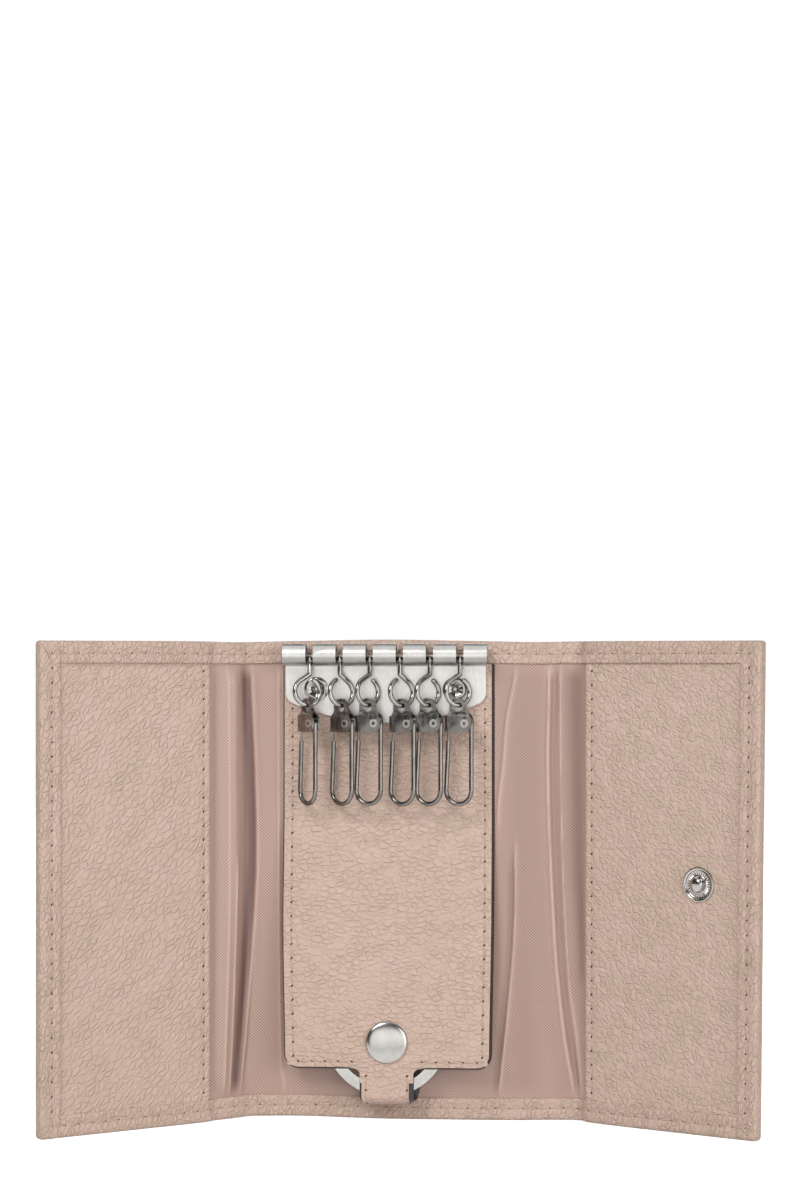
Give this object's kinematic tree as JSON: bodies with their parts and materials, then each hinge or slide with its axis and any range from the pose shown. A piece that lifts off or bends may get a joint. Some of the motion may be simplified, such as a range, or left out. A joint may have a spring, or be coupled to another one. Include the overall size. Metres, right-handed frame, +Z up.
{
  "type": "key case",
  "caption": "Tri-fold leather key case standing open like a screen, with a key rail of swivel hooks and wire clips, and a snapped leather panel that carries a split ring.",
  "frame": {"origin": "on the ground, in the middle of the bottom edge of the back, halfway through its thickness", "axes": "+X to the viewer's right along the back, +Y away from the viewer, square to the back, +Z up along the folds"},
  "size_m": [0.17, 0.0368, 0.116],
  "materials": {
    "pebbled_leather": "pale rose-beige pebbled leather, satin",
    "satin_lining": "woven satin lining",
    "board": "grey-brown stiffening board",
    "rail_steel": "nickel-plated steel, fine brushed",
    "nickel": "polished nickel"
  },
  "bodies": {
    "spine": {"spine_shell": "pebbled_leather", "spine_lining": "satin_lining", "spine_board": "board", "rail_plate": "rail_steel", "rail_rivets": "nickel", "panel_upper": "pebbled_leather", "panel_upper_backing": "pebbled_leather"},
    "left_gusset": {"left_gusset_shell": "pebbled_leather", "left_gusset_lining": "satin_lining"},
    "left_flap": {"left_flap_shell": "pebbled_leather", "left_flap_lining": "satin_lining", "left_flap_board": "board", "left_facing": "pebbled_leather", "closing_socket": "nickel", "closing_socket_post": "nickel"},
    "right_gusset": {"right_gusset_shell": "pebbled_leather", "right_gusset_lining": "satin_lining"},
    "right_flap": {"right_flap_shell": "pebbled_leather", "right_flap_lining": "satin_lining", "right_flap_board": "board", "right_facing": "pebbled_leather", "closing_stud": "nickel", "closing_stud_cap": "nickel"},
    "key_panel": {"panel_lower": "pebbled_leather", "panel_lower_backing": "pebbled_leather", "panel_snap_cap": "nickel", "panel_snap_socket": "nickel"},
    "tab_tail": {"tab_tail": "pebbled_leather", "tail_snap_stud": "nickel", "tail_snap_post": "nickel"},
    "split_ring": {"split_ring": "nickel"},
    "hook_1": {"key_hook_1": "nickel"},
    "clip_1": {"clip_body_1": "nickel", "clip_rivet_1": "nickel"},
    "bail_1": {"clip_bail_1": "nickel"},
    "hook_2": {"key_hook_2": "nickel"},
    "clip_2": {"clip_body_2": "nickel", "clip_rivet_2": "nickel"},
    "bail_2": {"clip_bail_2": "nickel"},
    "hook_3": {"key_hook_3": "nickel"},
    "clip_3": {"clip_body_3": "nickel", "clip_rivet_3": "nickel"},
    "bail_3": {"clip_bail_3": "nickel"},
    "hook_4": {"key_hook_4": "nickel"},
    "clip_4": {"clip_body_4": "nickel", "clip_rivet_4": "nickel"},
    "bail_4": {"clip_bail_4": "nickel"},
    "hook_5": {"key_hook_5": "nickel"},
    "clip_5": {"clip_body_5": "nickel", "clip_rivet_5": "nickel"},
    "bail_5": {"clip_bail_5": "nickel"},
    "hook_6": {"key_hook_6": "nickel"},
    "clip_6": {"clip_body_6": "nickel", "clip_rivet_6": "nickel"},
    "bail_6": {"clip_bail_6": "nickel"}
  },
  "joints": [
    {"name": "left_gusset_fold", "type": "hinge", "parent": "spine", "child": "left_gusset", "pos_m": [-0.033, -0.00125, 0], "axis": [0, 0, 1], "range_deg": [-35, 55]},
    {"name": "left_flap_fold", "type": "hinge", "parent": "left_gusset", "child": "left_flap", "pos_m": [-0.04037, -0.00641, 0], "axis": [0, 0, 1], "range_deg": [-2, 88]},
    {"name": "right_gusset_fold", "type": "hinge", "parent": "spine", "child": "right_gusset", "pos_m": [0.033, -0.00125, 0], "axis": [0, 0, -1], "range_deg": [0, 90]},
    {"name": "right_flap_fold", "type": "hinge", "parent": "right_gusset", "child": "right_flap", "pos_m": [0.0464, -0.00125, 0], "axis": [0, 0, -1], "range_deg": [-30.3, 59.7]},
    {"name": "panel_lift", "type": "hinge", "parent": "spine", "child": "key_panel", "pos_m": [0.0005, -0.00185, 0.074], "axis": [1, 0, 0], "range_deg": [-85, 0]},
    {"name": "tab_release", "type": "hinge", "parent": "key_panel", "child": "tab_tail", "pos_m": [0.0005, -0.00432, 0.00678], "axis": [1, 0, 0], "range_deg": [-4, 0]},
    {"name": "ring_turn", "type": "hinge", "parent": "key_panel", "child": "split_ring", "pos_m": [0.0005, -0.00515, 0.02141], "axis": [0, 0.9942, -0.108], "continuous": true},
    {"name": "hook_1_swing", "type": "hinge", "parent": "spine", "child": "hook_1", "pos_m": [-0.01818, -0.00455, 0.11155], "axis": [1, 0, 0], "range_deg": [-130, 0]},
    {"name": "clip_1_swing", "type": "hinge", "parent": "hook_1", "child": "clip_1", "pos_m": [-0.01866, -0.00655, 0.10058], "axis": [0.8829, 0.4637, -0.0734], "range_deg": [-45, 0]},
    {"name": "bail_1_open", "type": "hinge", "parent": "clip_1", "child": "bail_1", "pos_m": [-0.01731, -0.00816, 0.09625], "axis": [0.766, 0.6428, 0], "range_deg": [-75, 0]},
    {"name": "hook_2_swing", "type": "hinge", "parent": "spine", "child": "hook_2", "pos_m": [-0.0109, -0.00455, 0.11155], "axis": [1, 0, 0], "range_deg": [-130, 0]},
    {"name": "clip_2_swing", "type": "hinge", "parent": "hook_2", "child": "clip_2", "pos_m": [-0.01047, -0.00596, 0.10048], "axis": [0.788, 0.6081, -0.0963], "range_deg": [-45, 0]},
    {"name": "bail_2_open", "type": "hinge", "parent": "clip_2", "child": "bail_2", "pos_m": [-0.00882, -0.00725, 0.09616], "axis": [0.6157, 0.788, 0], "range_deg": [-75, 0]},
    {"name": "hook_3_swing", "type": "hinge", "parent": "spine", "child": "hook_3", "pos_m": [-0.00364, -0.00455, 0.11155], "axis": [1, 0, 0], "range_deg": [-130, 0]},
    {"name": "clip_3_swing", "type": "hinge", "parent": "hook_3", "child": "clip_3", "pos_m": [-0.00403, -0.00667, 0.1006], "axis": [0.7193, 0.6861, -0.1087], "range_deg": [-45, 0]},
    {"name": "bail_3_open", "type": "hinge", "parent": "clip_3", "child": "bail_3", "pos_m": [-0.00207, -0.00742, 0.09627], "axis": [0.3584, 0.9336, 0], "range_deg": [-75, 0]},
    {"name": "hook_4_swing", "type": "hinge", "parent": "spine", "child": "hook_4", "pos_m": [0.00364, -0.00455, 0.11155], "axis": [1, 0, 0], "range_deg": [-130, 0]},
    {"name": "clip_4_swing", "type": "hinge", "parent": "hook_4", "child": "clip_4", "pos_m": [0.00407, -0.00597, 0.10049], "axis": [0.7986, 0.5944, -0.0941], "range_deg": [-45, 0]},
    {"name": "bail_4_open", "type": "hinge", "parent": "clip_4", "child": "bail_4", "pos_m": [0.00593, -0.00695, 0.09616], "axis": [0.4695, 0.8829, 0], "range_deg": [-75, 0]},
    {"name": "hook_5_swing", "type": "hinge", "parent": "spine", "child": "hook_5", "pos_m": [0.0109, -0.00455, 0.11155], "axis": [1, 0, 0], "range_deg": [-130, 0]},
    {"name": "clip_5_swing", "type": "hinge", "parent": "hook_5", "child": "clip_5", "pos_m": [0.01048, -0.00664, 0.10059], "axis": [0.766, 0.6349, -0.1006], "range_deg": [-45, 0]},
    {"name": "bail_5_open", "type": "hinge", "parent": "clip_5", "child": "bail_5", "pos_m": [0.0124, -0.0075, 0.09627], "axis": [0.4067, 0.9135, 0], "range_deg": [-75, 0]},
    {"name": "hook_6_swing", "type": "hinge", "parent": "spine", "child": "hook_6", "pos_m": [0.01818, -0.00455, 0.11155], "axis": [1, 0, 0], "range_deg": [-130, 0]},
    {"name": "clip_6_swing", "type": "hinge", "parent": "hook_6", "child": "clip_6", "pos_m": [0.01771, -0.00659, 0.10058], "axis": [0.8387, 0.5379, -0.0852], "range_deg": [-45, 0]},
    {"name": "bail_6_open", "type": "hinge", "parent": "clip_6", "child": "bail_6", "pos_m": [0.0197, -0.00727, 0.09626], "axis": [0.3256, 0.9455, 0], "range_deg": [-75, 0]}
  ]
}
